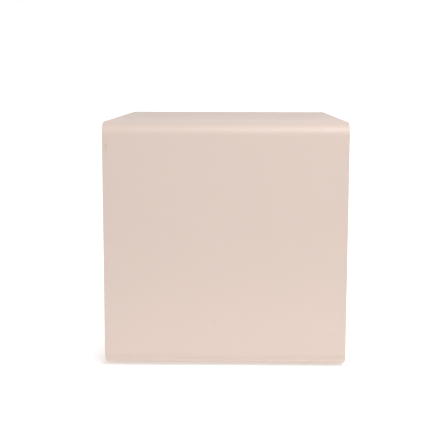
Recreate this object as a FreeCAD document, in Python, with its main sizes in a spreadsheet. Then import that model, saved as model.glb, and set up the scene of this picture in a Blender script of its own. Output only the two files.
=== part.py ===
"""Display plinth: a low painted box whose four left-to-right edges are rounded over.

The box runs left to right along X, its front faces -Y and Z is up. The origin lies on the floor,
under the middle of the box. Twelve millimetre boards are let flush into four hardwood corner rails,
whose outer corners carry the large roundover. The two side panels cover the ends of the rails and
boards, so the painted front shows no joint. Softwood cleats, a centre rib, a screwed base and four
screw-on glides are hidden inside and underneath.
"""

import FreeCAD, Part

import math
import os

import Sketcher

# Driving sizes, in millimetres. Each is written here once and everything else is worked out from it.
SIZES = {
    "body_width": 450.0,  # across the front, over the side panels
    "body_depth": 600.0,  # front to back
    "body_height": 453.0,  # the painted box alone, without its glides
    "edge_radius": 25.0,  # the roundover along the four edges that run left to right
    "arris_radius": 1.2,  # sanded softening of the side panels' outer edges
    "board": 12.0,  # thickness of every panel and of the rib
    "rail_size": 40.0,  # the corner rails, square before they are rounded and rebated
    "cleat_size": 20.0,  # the softwood cleats, square
    "groove_depth": 3.0,  # housing of the rib in the front, back and top panels
    "groove_clearance": 0.1,  # on each side of the rib in its grooves
    "rib_clearance": 0.5,  # between the rib's notches and the rails
    "base_clearance": 0.5,  # around the removable base panel
    "dowel_diameter": 8.0,
    "dowel_length": 30.0,
    "dowel_in_panel": 9.0,  # how far a dowel enters the side panel
    "dowel_edge": 7.0,  # from a dowel's middle to the nearest long face of the rail
    "bore_clearance": 0.1,  # between a dowel or screw and its hole, all round
    "bore_relief": 0.5,  # a blind hole is this much deeper than what goes into it
    "base_screw_diameter": 4.0,
    "slim_screw_diameter": 3.5,  # the cleat screws and glide screws
    "screw_margin": 2.0,  # wood left past the point of a screw through a board and a cleat
    "glide_screw_length": 25.0,
    "screw_point": 5.0,  # length of a screw's tapered point
    "slot_width": 0.9,  # the cross recess in a screw head
    "slot_depth": 1.2,
    "head_sink": 0.3,  # screw heads lie this far below the wood
    "rail_screw_pitch": 150.0,  # base screws into the bottom rails
    "cleat_base_pitch": 190.0,  # base screws into the base cleats
    "cleat_screw_offset": 110.0,  # cleat screws, from the middle of each cleat
    "glide_diameter": 25.0,
    "glide_height": 4.0,
    "glide_chamfer": 1.0,
    "glide_head_depth": 0.8,  # the glide's screw head stays this far off the floor
    "glide_block_size": 36.0,
    "glide_block_height": 20.0,
    "glide_block_clearance": 2.0,  # from each block to the rail and the cleat beside it
}

doc = FreeCAD.newDocument("display_plinth")
sheet = doc.addObject("Spreadsheet::Sheet", "Sizes")
for row, (alias, number) in enumerate(SIZES.items(), start=1):
    sheet.set(f"A{row}", alias)
    sheet.set(f"B{row}", str(number))
    sheet.setAlias(f"B{row}", alias)
doc.recompute()


class Length:
    """A length that carries both its value and the spreadsheet expression that gives it."""

    def __init__(self, value, text):
        self.value = value
        self.text = text

    def joined(self, sign, other, value):
        return Length(value, f"({self.text} {sign} {as_length(other).text})")

    def __add__(self, other):
        return self.joined("+", other, self.value + as_length(other).value)

    def __sub__(self, other):
        return self.joined("-", other, self.value - as_length(other).value)

    def __mul__(self, number):
        return self.joined("*", number, self.value * number)

    def __truediv__(self, number):
        return self.joined("/", number, self.value / number)

    def __neg__(self):
        return self * -1


def as_length(number):
    """A Length stays as it is; a plain number becomes one."""
    return number if isinstance(number, Length) else Length(float(number), str(number))


def size(name):
    """The sheet cell with this alias."""
    return Length(float(sheet.get(name)), f"Sizes.{name}")


ZERO = as_length(0)
ORIGIN = -1  # a sketch's own origin, in its constraints
START, END, MIDDLE = 1, 2, 3  # the points of a curve, in its constraints
COINCIDENCE = 1e-4  # places closer than this are the same place
FULL_TURN = 360
HALF_TURN = 180
QUARTER_TURN = 90
X_AXIS = FreeCAD.Vector(1, 0, 0)
Y_AXIS = FreeCAD.Vector(0, 1, 0)
Z_AXIS = FreeCAD.Vector(0, 0, 1)
UNTURNED = FreeCAD.Rotation()
ABOUT_X = FreeCAD.Rotation(X_AXIS, HALF_TURN)
ABOUT_Y = FreeCAD.Rotation(Y_AXIS, HALF_TURN)
ABOUT_Z = FreeCAD.Rotation(Z_AXIS, HALF_TURN)
POINTING_RIGHT = FreeCAD.Rotation(Y_AXIS, QUARTER_TURN)
POINTING_LEFT = FreeCAD.Rotation(Y_AXIS, -QUARTER_TURN)

board = size("board")
edge_radius = size("edge_radius")
rail_size = size("rail_size")
cleat_size = size("cleat_size")
bore_clearance = size("bore_clearance")
bore_relief = size("bore_relief")
head_sink = size("head_sink")
half_width = size("body_width") / 2
half_depth = size("body_depth") / 2
underside = size("glide_height")
top_face = underside + size("body_height")
inner_half_width = half_width - board
inner_width = inner_half_width * 2
panel_rise = size("body_height") - edge_radius * 2
panel_run = size("body_depth") - edge_radius * 2
cleat_rise = size("body_height") - rail_size * 2
cleat_run = size("body_depth") - rail_size * 2
block_reach = size("glide_block_clearance") + size("glide_block_size") / 2
glide_across = inner_half_width - cleat_size - block_reach
glide_along = half_depth - rail_size - block_reach
seat_middle = (edge_radius + rail_size) / 2  # the middle of a rail's rebate, from the outer face
dowel_bore = size("dowel_diameter") + bore_clearance * 2
slim_bore = size("slim_screw_diameter") + bore_clearance * 2
slim_head = size("slim_screw_diameter") * 2  # a countersunk head is twice as wide as its shank
base_bore = size("base_screw_diameter") + bore_clearance * 2
base_head = size("base_screw_diameter") * 2
long_screw = board + cleat_size - size("screw_margin")
base_screw_reach = long_screw - board + head_sink + bore_relief
glide_screw_top = size("glide_screw_length") + size("glide_head_depth") - size("glide_height")

sub_parts = []


def bind(thing, name, length):
    """Sets a property and ties it to the sheet."""
    setattr(thing, name, length.value)
    thing.setExpression(name, length.text)


def place(thing, x, y, z, rotation=UNTURNED):
    """Puts a piece where three lengths say, turned by a fixed rotation."""
    corner = FreeCAD.Vector(x.value, y.value, z.value)
    thing.Placement = FreeCAD.Placement(corner, rotation)
    for axis, length in zip("xyz", (x, y, z)):
        thing.setExpression(f"Placement.Base.{axis}", length.text)


def new_body(label):
    """An empty body for one piece."""
    body = doc.addObject("PartDesign::Body", label)
    body.Label = label
    return body


def finished(body):
    """Notes a piece that is to be written out."""
    sub_parts.append(body)
    return body


def new_sketch(body, name, role, offset=ZERO):
    """A sketch on one of the body's own planes, moved along that plane's normal by an offset."""
    sketch = body.newObject("Sketcher::SketchObject", name)
    plane = next(f for f in body.Origin.OriginFeatures if f.Role == role)
    sketch.AttachmentSupport = [(plane, "")]
    sketch.MapMode = "FlatFace"
    sketch.AttachmentOffset = FreeCAD.Placement(FreeCAD.Vector(0, 0, offset.value), UNTURNED)
    sketch.setExpression("AttachmentOffset.Base.z", offset.text)
    return sketch


def pin_point(sketch, geometry, end, across, up):
    """Fixes one end of a curve at a place measured from the sketch's origin."""
    for kind, length in (("DistanceX", across), ("DistanceY", up)):
        rule = Sketcher.Constraint(kind, ORIGIN, START, geometry, end, length.value)
        index = sketch.addConstraint(rule)
        sketch.setExpression(f"Constraints[{index}]", length.text)


def add_sides(sketch, corners, closed):
    """Straight sides through corners (across, up), and back to the first one where closed."""
    points = [FreeCAD.Vector(across.value, up.value, 0) for across, up in corners]
    ends = points[1:] + points[:1] if closed else points[1:]
    sides = [sketch.addGeometry(Part.LineSegment(*pair), False) for pair in zip(points, ends)]
    for side, corner in zip(sides, corners):
        pin_point(sketch, side, START, *corner)
    for before, after in zip(sides, sides[1:]):
        sketch.addConstraint(Sketcher.Constraint("Coincident", before, END, after, START))
    if closed:
        sketch.addConstraint(Sketcher.Constraint("Coincident", sides[-1], END, sides[0], START))
    else:
        pin_point(sketch, sides[-1], END, *corners[-1])
    return sides


def add_outline(sketch, corners):
    """A closed outline of straight sides through corners (across, up)."""
    add_sides(sketch, corners, closed=True)


def add_rounded_outline(sketch, corners, radius):
    """Straight sides, closed by a quarter round that turns from the last corner to the first.

    The quarter round turns anticlockwise about a centre that lies one radius in from both axes.
    """
    sides = add_sides(sketch, corners, closed=False)
    centre = FreeCAD.Vector(radius.value, radius.value, 0)
    circle = Part.Circle(centre, Z_AXIS, radius.value)
    arc = sketch.addGeometry(Part.ArcOfCircle(circle, math.pi, math.pi * 3 / 2), False)
    sketch.addConstraint(Sketcher.Constraint("Coincident", sides[-1], END, arc, START))
    sketch.addConstraint(Sketcher.Constraint("Coincident", arc, END, sides[0], START))
    rule = Sketcher.Constraint("DistanceX", ORIGIN, START, arc, MIDDLE, radius.value)
    sketch.setExpression(f"Constraints[{sketch.addConstraint(rule)}]", radius.text)


def add_rectangle(sketch, left, right, low, high):
    """A closed rectangle."""
    add_outline(sketch, [(left, low), (right, low), (right, high), (left, high)])


def add_circles(sketch, centres, diameter):
    """Equal circles at centres (across, up)."""
    for across, up in centres:
        centre = FreeCAD.Vector(across.value, up.value, 0)
        circle = sketch.addGeometry(Part.Circle(centre, Z_AXIS, diameter.value / 2), False)
        rule = sketch.addConstraint(Sketcher.Constraint("Diameter", circle, diameter.value))
        sketch.setExpression(f"Constraints[{rule}]", diameter.text)
        pin_point(sketch, circle, MIDDLE, across, up)


def pad(body, sketch, length, both_ways=False):
    """Solid stock from a sketch, along its normal or equally to both sides of it."""
    stock = body.newObject("PartDesign::Pad", f"{body.Name}_stock")
    stock.Profile = sketch
    bind(stock, "Length", length)
    stock.SideType = "Symmetric" if both_ways else "One side"
    doc.recompute()
    return stock


def cut_pocket(body, sketch, depth=None, along_normal=False):
    """Cuts a sketch's shape out of the body, right through where no depth is given."""
    pocket = body.newObject("PartDesign::Pocket", f"{sketch.Name}_cut")
    pocket.Profile = sketch
    if depth is None:
        pocket.Type = "ThroughAll"
    else:
        bind(pocket, "Length", depth)
    pocket.Reversed = along_normal
    doc.recompute()
    return pocket


def drill(body, sketch, diameter, depth=None, head=None, along_normal=False):
    """Drills a sketch's circles, right through where no depth is given, countersunk for a head."""
    doc.recompute()
    hole = body.newObject("PartDesign::Hole", f"{sketch.Name}_drilling")
    hole.Profile = sketch
    doc.recompute()
    hole.ThreadType = "None"
    bind(hole, "Diameter", diameter)
    hole.DrillPoint = "Flat"
    if depth is None:
        hole.DepthType = "ThroughAll"
    else:
        hole.DepthType = "Dimension"
        bind(hole, "Depth", depth)
    if head is not None:
        hole.HoleCutType = "Countersink"
        hole.HoleCutCountersinkAngle = QUARTER_TURN
        bind(hole, "HoleCutDiameter", head)
    hole.Reversed = along_normal
    doc.recompute()
    return hole


def round_over(body, feature, radius, chosen):
    """Rounds the edges of a feature whose middle point is chosen."""
    edges = enumerate(feature.Shape.Edges, start=1)
    names = [f"Edge{number}" for number, edge in edges if chosen(edge.CenterOfMass)]
    fillet = body.newObject("PartDesign::Fillet", f"{body.Name}_rounding_{feature.Name}")
    fillet.Base = (feature, names)
    bind(fillet, "Radius", radius)
    doc.recompute()
    return fillet


def near(coordinate, length):
    """Whether a coordinate lies at a length."""
    return math.isclose(coordinate, length.value, abs_tol=COINCIDENCE)


def dowel_centres(across_sign, up_sign, across_corner, up_corner):
    """The two dowels of one rail end, measured inwards from the box's outer corner there."""
    near_face = board + size("dowel_edge")
    far_face = rail_size - size("dowel_edge")
    return [
        (across_corner - a * across_sign, up_corner - b * up_sign)
        for a, b in ((near_face, far_face), (far_face, near_face))
    ]


def side_panel(label, x, rotation):
    """An end panel: a rounded square that covers the ends of the rails and boards.

    Its own frame has x = 0 on the inner face, x = board on the outer one, and z up from its foot.
    """
    body = new_body(label)
    outline = new_sketch(body, f"{label}_outline", "YZ_Plane")
    add_rectangle(outline, -half_depth, half_depth, ZERO, size("body_height"))
    stock = pad(body, outline, board)
    corners = round_over(body, stock, edge_radius, lambda middle: near(middle.x, board / 2))
    round_over(body, corners, size("arris_radius"), lambda middle: near(middle.x, board))

    dowels = new_sketch(body, f"{label}_dowel_holes", "YZ_Plane")
    centres = []
    for side in (-1, 1):
        centres += dowel_centres(side, 1, half_depth * side, size("body_height"))
        centres += dowel_centres(side, -1, half_depth * side, ZERO)
    add_circles(dowels, centres, dowel_bore)
    drill(body, dowels, dowel_bore, size("dowel_in_panel") + bore_relief, along_normal=True)

    screws = new_sketch(body, f"{label}_screw_holes", "YZ_Plane")
    add_circles(screws, cleat_screw_centres(), slim_bore)
    depth = long_screw - cleat_size + head_sink + bore_relief
    drill(body, screws, slim_bore, depth, along_normal=True)
    place(body, x, ZERO, underside, rotation)
    return finished(body)


def cleat_screw_centres():
    """Where the cleat screws enter a side panel, as (y, height above the panel's foot)."""
    offset = size("cleat_screw_offset")
    middle_height = size("body_height") / 2
    upright = half_depth - board - cleat_size / 2
    low = board + cleat_size / 2
    high = size("body_height") - low
    centres = []
    for step in (-1, 1):
        for side in (-1, 1):
            centres.append((upright * side, middle_height + offset * step))
        for height in (low, high):
            centres.append((offset * step, height))
    return centres


def countersink(head):
    """The mouth of a countersunk hole: its head, the clearance, and room to lie below the wood."""
    return head + (bore_clearance + head_sink) * 2


def face_panel(label, y, rotation):
    """The front or back panel: x along the box, y = 0 on its outer face, z up from its foot."""
    body = new_body(label)
    outline = new_sketch(body, f"{label}_outline", "XZ_Plane")
    add_rectangle(outline, -inner_half_width, inner_half_width, ZERO, panel_rise)
    stock = pad(body, outline, board)
    stock.Reversed = True
    doc.recompute()
    groove = new_sketch(body, f"{label}_groove", "XY_Plane")
    half_groove = board / 2 + size("groove_clearance")
    add_rectangle(groove, -half_groove, half_groove, board - size("groove_depth"), board)
    cut_pocket(body, groove, along_normal=True)
    place(body, ZERO, y, underside + edge_radius, rotation)
    return finished(body)


def flat_panel(label, z, clearance, grooved):
    """The top or base panel: x along the box, y front to back, z = 0 on its lower face."""
    body = new_body(label)
    outline = new_sketch(body, f"{label}_outline", "XY_Plane")
    half_x = inner_half_width - clearance
    half_y = panel_run / 2 - clearance
    add_rectangle(outline, -half_x, half_x, -half_y, half_y)
    pad(body, outline, board)
    if grooved:
        groove = new_sketch(body, f"{label}_groove", "XZ_Plane")
        half_groove = board / 2 + size("groove_clearance")
        add_rectangle(groove, -half_groove, half_groove, ZERO, size("groove_depth"))
        pocket = cut_pocket(body, groove)
        pocket.SideType = "Two sides"
        pocket.Type2 = "ThroughAll"
        doc.recompute()
    place(body, ZERO, ZERO, z)
    return body


def rail_screw_places():
    """Where the base screws enter the bottom rails, along the rails."""
    pitch = size("rail_screw_pitch")
    return [-pitch, ZERO, pitch]


def base_screw_centres():
    """The base screws, seen from above, as (x, y)."""
    across_rails = half_depth - seat_middle
    across_cleats = inner_half_width - cleat_size / 2
    pitch = size("cleat_base_pitch")
    centres = []
    for side in (-1, 1):
        centres += [(x, across_rails * side) for x in rail_screw_places()]
        centres += [(across_cleats * side, pitch * step) for step in (-1, 0, 1)]
    return centres


def glide_centres():
    """The four glides, seen from above, as (place name, x, y)."""
    return [
        (f"{depth_name}_{side_name}", glide_across * side, glide_along * depth_side)
        for depth_name, depth_side in (("front", -1), ("back", 1))
        for side_name, side in (("left", -1), ("right", 1))
    ]


def base_panel():
    """The removable base, countersunk from below for its own screws and drilled for the glides'."""
    body = flat_panel("base_panel", underside, size("base_clearance"), grooved=False)
    screws = new_sketch(body, "base_screw_holes", "XY_Plane")
    add_circles(screws, base_screw_centres(), base_bore)
    drill(body, screws, base_bore, head=countersink(base_head), along_normal=True)
    glides = new_sketch(body, "glide_screw_holes", "XY_Plane")
    add_circles(glides, [(x, y) for _, x, y in glide_centres()], slim_bore)
    drill(body, glides, slim_bore, along_normal=True)
    return finished(body)


def corner_rail(label, y, z, rotation, takes_base_screws):
    """A hardwood rail: a square with a rounded outer corner and a rebate for each of two boards.

    It is drawn as the bottom front one, with the corner that is rounded away on its own X axis.
    """
    body = new_body(label)
    section = new_sketch(body, f"{label}_section", "YZ_Plane")
    corners = [
        (edge_radius, ZERO),
        (edge_radius, board),
        (rail_size, board),
        (rail_size, rail_size),
        (board, rail_size),
        (board, edge_radius),
        (ZERO, edge_radius),
    ]
    add_rounded_outline(section, corners, edge_radius)
    pad(body, section, inner_width, both_ways=True)
    ends = (("left", -inner_half_width, True), ("right", inner_half_width, False))
    for end_name, end, inwards in ends:
        dowels = new_sketch(body, f"{label}_{end_name}_dowel_holes", "YZ_Plane", end)
        add_circles(dowels, dowel_centres(-1, -1, ZERO, ZERO), dowel_bore)
        depth = size("dowel_length") - size("dowel_in_panel") + bore_relief
        drill(body, dowels, dowel_bore, depth, along_normal=inwards)
    if takes_base_screws:
        screws = new_sketch(body, f"{label}_screw_holes", "XY_Plane", board)
        add_circles(screws, [(x, seat_middle) for x in rail_screw_places()], base_bore)
        drill(body, screws, base_bore, base_screw_reach, along_normal=True)
    place(body, ZERO, y, z, rotation)
    return finished(body)


def centre_rib():
    """The upright rib in the middle, let into the front, back and top, and notched for the rails."""
    body = new_body("centre_rib")
    section = new_sketch(body, "centre_rib_outline", "YZ_Plane")
    reach = half_depth - board + size("groove_depth")
    notch = rail_size + size("rib_clearance")
    inside = half_depth - notch
    foot = board
    head = size("body_height") - board + size("groove_depth")
    shoulder_low = notch
    shoulder_high = size("body_height") - notch
    corners = [
        (-inside, foot),
        (inside, foot),
        (inside, shoulder_low),
        (reach, shoulder_low),
        (reach, shoulder_high),
        (inside, shoulder_high),
        (inside, head),
        (-inside, head),
        (-inside, shoulder_high),
        (-reach, shoulder_high),
        (-reach, shoulder_low),
        (-inside, shoulder_low),
    ]
    add_outline(section, corners)
    pad(body, section, board, both_ways=True)
    place(body, ZERO, ZERO, underside)
    return finished(body)


def upright_cleat(label, x, y, rotation):
    """An upright cleat: x = 0 on the face with the screw heads, z up from its foot."""
    body = new_body(label)
    outline = new_sketch(body, f"{label}_outline", "XY_Plane")
    add_rectangle(outline, ZERO, cleat_size, -cleat_size / 2, cleat_size / 2)
    pad(body, outline, cleat_rise)
    screws = new_sketch(body, f"{label}_screw_holes", "YZ_Plane")
    offset = size("cleat_screw_offset")
    middle = cleat_rise / 2
    add_circles(screws, [(ZERO, middle - offset), (ZERO, middle + offset)], slim_bore)
    drill(body, screws, slim_bore, head=countersink(slim_head), along_normal=True)
    place(body, x, y, underside + rail_size, rotation)
    return finished(body)


def level_cleat(label, x, z, rotation, takes_base_screws):
    """A level cleat, front to back: x = 0 on the face with the screw heads, z = 0 underneath."""
    body = new_body(label)
    outline = new_sketch(body, f"{label}_outline", "XY_Plane")
    add_rectangle(outline, ZERO, cleat_size, -cleat_run / 2, cleat_run / 2)
    pad(body, outline, cleat_size)
    screws = new_sketch(body, f"{label}_screw_holes", "YZ_Plane")
    offset = size("cleat_screw_offset")
    middle = cleat_size / 2
    add_circles(screws, [(-offset, middle), (offset, middle)], slim_bore)
    drill(body, screws, slim_bore, head=countersink(slim_head), along_normal=True)
    if takes_base_screws:
        pilots = new_sketch(body, f"{label}_base_screw_holes", "XY_Plane")
        pitch = size("cleat_base_pitch")
        add_circles(pilots, [(middle, pitch * step) for step in (-1, 0, 1)], base_bore)
        drill(body, pilots, base_bore, base_screw_reach, along_normal=True)
    place(body, x, ZERO, z, rotation)
    return finished(body)


def glide_block(label, x, y):
    """A block glued on top of the base panel, for a glide's screw."""
    body = new_body(label)
    outline = new_sketch(body, f"{label}_outline", "XY_Plane")
    half = size("glide_block_size") / 2
    add_rectangle(outline, -half, half, -half, half)
    pad(body, outline, size("glide_block_height"))
    screw = new_sketch(body, f"{label}_screw_hole", "XY_Plane")
    add_circles(screw, [(ZERO, ZERO)], slim_bore)
    drill(body, screw, slim_bore, glide_screw_top - board + bore_relief, along_normal=True)
    place(body, x, y, underside + board)
    return finished(body)


def turned(body, corners):
    """A turned piece, from half its section as (distance from the axis, height)."""
    section = new_sketch(body, f"{body.Name}_section", "XZ_Plane")
    add_outline(section, corners)
    turning = body.newObject("PartDesign::Revolution", f"{body.Name}_turning")
    turning.Profile = section
    turning.ReferenceAxis = (section, ["V_Axis"])
    turning.Angle = FULL_TURN
    doc.recompute()
    return turning


def glide(label, x, y):
    """A screw-on nylon glide, standing on the floor, with its screw head recessed from below."""
    body = new_body(label)
    rim = size("glide_diameter") / 2
    chamfer = size("glide_chamfer")
    bore = slim_bore / 2
    mouth = slim_head / 2 + bore_clearance
    recess = size("glide_head_depth")
    corners = [
        (bore, size("glide_height")),
        (bore, recess + mouth - bore),
        (mouth, recess),
        (mouth, ZERO),
        (rim - chamfer, ZERO),
        (rim, chamfer),
        (rim, size("glide_height")),
    ]
    turned(body, corners)
    place(body, x, y, ZERO)
    return finished(body)


def wood_screw(label, diameter, length):
    """A countersunk wood screw that points up, with the face of its cross-recessed head at z = 0.

    The head's radius is the shank's diameter, and its cone has a right angle.
    """
    body = new_body(label)
    head = diameter
    shank = diameter / 2
    point_start = length - size("screw_point")
    corners = [
        (ZERO, ZERO),
        (head, ZERO),
        (shank, head - shank),
        (shank, point_start),
        (ZERO, length),
    ]
    turned(body, corners)
    recess = new_sketch(body, f"{label}_recess", "XY_Plane")
    arm = shank
    slot = size("slot_width") / 2
    cross = [
        (-arm, -slot),
        (-slot, -slot),
        (-slot, -arm),
        (slot, -arm),
        (slot, -slot),
        (arm, -slot),
        (arm, slot),
        (slot, slot),
        (slot, arm),
        (-slot, arm),
        (-slot, slot),
        (-arm, slot),
    ]
    add_outline(recess, cross)
    cut_pocket(body, recess, size("slot_depth"), along_normal=True)
    return body


def dowel_pin():
    """One beech dowel, from its left end at x = 0."""
    pin = doc.addObject("Part::Cylinder", "dowel_pin")
    bind(pin, "Radius", size("dowel_diameter") / 2)
    bind(pin, "Height", size("dowel_length"))
    return pin


def set_of(label, source, places):
    """One node with a copy of the source at each place (x, y, z, rotation)."""
    copies = []
    for number, (x, y, z, rotation) in enumerate(places, start=1):
        copy = doc.addObject("App::Link", f"{label}_{number}")
        copy.LinkedObject = source
        place(copy, x, y, z, rotation)
        copies.append(copy)
    node = doc.addObject("Part::Compound", label)
    node.Label = label
    node.Links = copies
    return finished(node)


def cleat_screw_places():
    """The cleat screws point outwards, their heads just under the cleats' inner faces."""
    inner_face = inner_half_width - cleat_size + head_sink
    places = []
    for y, height in cleat_screw_centres():
        places.append((-inner_face, y, underside + height, POINTING_LEFT))
        places.append((inner_face, y, underside + height, POINTING_RIGHT))
    return places


def dowel_places():
    """Two dowels at each end of the four rails, part in the rail and part in the side panel."""
    inner_end = inner_half_width + size("dowel_in_panel") - size("dowel_length")
    places = []
    for side in (-1, 1):
        centres = dowel_centres(side, 1, half_depth * side, top_face)
        centres += dowel_centres(side, -1, half_depth * side, underside)
        for y, z in centres:
            places.append((inner_end, y, z, POINTING_RIGHT))
            places.append((-inner_end, y, z, POINTING_LEFT))
    return places


face_panel("front_panel", -half_depth, UNTURNED)
face_panel("back_panel", half_depth, ABOUT_Z)
finished(flat_panel("top_panel", top_face - board, ZERO, grooved=True))
base_panel()
side_panel("left_side_panel", -inner_half_width, ABOUT_Z)
side_panel("right_side_panel", inner_half_width, UNTURNED)

corner_rail("bottom_front_rail", -half_depth, underside, UNTURNED, True)
corner_rail("bottom_back_rail", half_depth, underside, ABOUT_Z, True)
corner_rail("top_front_rail", -half_depth, top_face, ABOUT_Y, False)
corner_rail("top_back_rail", half_depth, top_face, ABOUT_X, False)
centre_rib()

cleat_face = inner_half_width - cleat_size
cleat_depth_place = half_depth - board - cleat_size / 2
for side_name, side_sign, side_turn in (("left", -1, ABOUT_Z), ("right", 1, UNTURNED)):
    cleat_x = cleat_face * side_sign
    upright_cleat(f"{side_name}_front_cleat", cleat_x, -cleat_depth_place, side_turn)
    upright_cleat(f"{side_name}_back_cleat", cleat_x, cleat_depth_place, side_turn)
    level_cleat(f"{side_name}_base_cleat", cleat_x, underside + board, side_turn, True)
    level_cleat(f"{side_name}_top_cleat", cleat_x, top_face - board - cleat_size, side_turn, False)

for place_name, glide_x, glide_y in glide_centres():
    glide_block(f"{place_name}_glide_block", glide_x, glide_y)
    glide(f"{place_name}_glide", glide_x, glide_y)

set_of("rail_dowels", dowel_pin(), dowel_places())
base_screw = wood_screw("base_screw", size("base_screw_diameter"), long_screw)
set_of(
    "base_screws",
    base_screw,
    [(x, y, underside + head_sink, UNTURNED) for x, y in base_screw_centres()],
)
cleat_screw = wood_screw("cleat_screw", size("slim_screw_diameter"), long_screw)
set_of("cleat_screws", cleat_screw, cleat_screw_places())
glide_screw = wood_screw("glide_screw", size("slim_screw_diameter"), size("glide_screw_length"))
set_of(
    "glide_screws",
    glide_screw,
    [(x, y, size("glide_head_depth"), UNTURNED) for _, x, y in glide_centres()],
)

doc.recompute()
for thing in doc.Objects:
    if "Invalid" in thing.State or "Error" in thing.State:
        raise RuntimeError(f"{thing.Label} failed: {thing.State}")
for sub_part in sub_parts:
    if sub_part.Shape.isNull() or not sub_part.Shape.isValid():
        raise RuntimeError(f"{sub_part.Label} has no valid shape")

os.makedirs("parts", exist_ok=True)
for sub_part in sub_parts:
    sub_part.Shape.exportStep(f"parts/{sub_part.Label}.step")
    print(sub_part.Label, len(sub_part.Shape.Solids), round(sub_part.Shape.Volume, 1))
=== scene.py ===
"""Display plinth in satin paint: a low box with its four left-to-right edges rounded over.

The painted boards, end boards and corner rails are drawn as smooth shells on the CAD parts' own sizes,
with bare wood where no paint reaches. Glides, fluted dowels and threaded screws replace the plain
CAD ones, and the pieces sealed inside keep their CAD shape and get their own woods.
"""
import math

import bpy
import numpy as np
from mathutils import Matrix, Vector


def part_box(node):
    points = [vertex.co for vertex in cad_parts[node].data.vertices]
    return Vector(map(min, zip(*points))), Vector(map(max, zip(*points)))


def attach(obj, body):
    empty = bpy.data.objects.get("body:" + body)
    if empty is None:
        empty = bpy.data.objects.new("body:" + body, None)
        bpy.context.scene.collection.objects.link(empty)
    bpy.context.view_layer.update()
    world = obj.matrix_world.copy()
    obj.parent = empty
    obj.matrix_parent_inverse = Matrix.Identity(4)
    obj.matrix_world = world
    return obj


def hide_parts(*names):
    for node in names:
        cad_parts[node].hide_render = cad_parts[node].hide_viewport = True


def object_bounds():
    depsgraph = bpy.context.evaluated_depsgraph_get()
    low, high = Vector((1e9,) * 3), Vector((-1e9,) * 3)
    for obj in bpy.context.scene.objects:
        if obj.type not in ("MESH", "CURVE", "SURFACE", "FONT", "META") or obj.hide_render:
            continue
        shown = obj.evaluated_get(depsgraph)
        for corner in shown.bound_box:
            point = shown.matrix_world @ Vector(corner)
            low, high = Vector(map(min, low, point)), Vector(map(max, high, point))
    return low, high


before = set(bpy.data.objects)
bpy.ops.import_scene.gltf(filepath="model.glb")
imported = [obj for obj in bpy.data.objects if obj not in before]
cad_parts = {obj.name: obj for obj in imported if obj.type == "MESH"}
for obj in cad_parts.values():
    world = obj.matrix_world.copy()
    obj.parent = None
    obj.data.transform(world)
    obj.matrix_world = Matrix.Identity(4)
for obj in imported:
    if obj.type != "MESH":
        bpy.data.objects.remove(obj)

MM = 0.001
CAD_BOX = [list(corner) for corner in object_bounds()]


# ---------------------------------------------------------------------------
# Sizes read from the CAD parts
# ---------------------------------------------------------------------------

def box_of(node):
    """Lowest and highest corner of a CAD node, as two arrays."""
    low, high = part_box(node)
    return np.array(low), np.array(high)


BOX_LOW, BOX_HIGH = np.array(CAD_BOX[0]), np.array(CAD_BOX[1])
FRONT_LOW, FRONT_HIGH = box_of("front_panel")
TOP_LOW, TOP_HIGH = box_of("top_panel")
END_LOW, END_HIGH = box_of("right_side_panel")
RAIL_LOW, RAIL_HIGH = box_of("bottom_front_rail")
RIB_LOW, RIB_HIGH = box_of("centre_rib")

HALF_WIDTH = BOX_HIGH[0]
HALF_DEPTH = BOX_HIGH[1]
FOOT = END_LOW[2]  # underside of the painted box, a glide's height above the floor
HEAD = END_HIGH[2]
MIDDLE_HEIGHT = (FOOT + HEAD) / 2
BOARD = FRONT_HIGH[1] - FRONT_LOW[1]
ROUND = FRONT_LOW[2] - FOOT  # radius of the four rounded edges
RAIL = RAIL_HIGH[1] - RAIL_LOW[1]
RAIL_END = RAIL_HIGH[0]
GROOVE_DEPTH = RIB_HIGH[2] - TOP_LOW[2]
GROOVE_HALF = (RIB_HIGH[0] - RIB_LOW[0]) / 2 + 0.1 * MM
ARRIS = 1.2 * MM  # hand-sanded softening of the end boards' outer edges
BORE_CLEARANCE = 0.1 * MM
BORE_RELIEF = 0.5 * MM
SMOOTH_BELOW = math.radians(35)


# ---------------------------------------------------------------------------
# Making meshes from arrays
# ---------------------------------------------------------------------------

def ring_quads(rings, points, closed_path=False):
    """Quads between neighbouring loops of points, each loop closed on itself."""
    ring, point = np.meshgrid(np.arange(rings - (not closed_path)), np.arange(points), indexing="ij")
    ahead = (ring + 1) % rings
    beside = (point + 1) % points
    here, there = ring * points, ahead * points
    corners = (here + point, here + beside, there + beside, there + point)
    return np.stack([corner.ravel() for corner in corners], axis=1)


def signed_volume(points, triangles):
    """A sixth of the sum of every triangle's triple product: positive when faces point outwards."""
    a, b, c = (points[triangles[:, corner]] for corner in range(3))
    return np.einsum("ij,ij->i", a, np.cross(b, c)).sum() / 6


def shell(name, rings, capped=True):
    """A closed mesh of loops (ring, point, xyz), its two ends filled in or joined to each other."""
    count, around = rings.shape[:2]
    points = rings.reshape(-1, 3)
    quads = ring_quads(count, around, closed_path=not capped)
    ends = [np.arange(around)[::-1], (count - 1) * around + np.arange(around)] if capped else []
    triangles = np.concatenate([quads[:, [0, 1, 2]], quads[:, [0, 2, 3]]])
    for end in ends:
        fan = np.stack([np.full(around - 2, end[0]), end[1:-1], end[2:]], axis=1)
        triangles = np.concatenate([triangles, fan])
    faces = [quad.tolist() for quad in quads] + [end.tolist() for end in ends]
    if signed_volume(points, triangles) < 0:
        faces = [face[::-1] for face in faces]
    mesh = bpy.data.meshes.new(name)
    mesh.from_pydata(points.tolist(), [], faces)
    mesh.validate()
    return mesh


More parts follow.
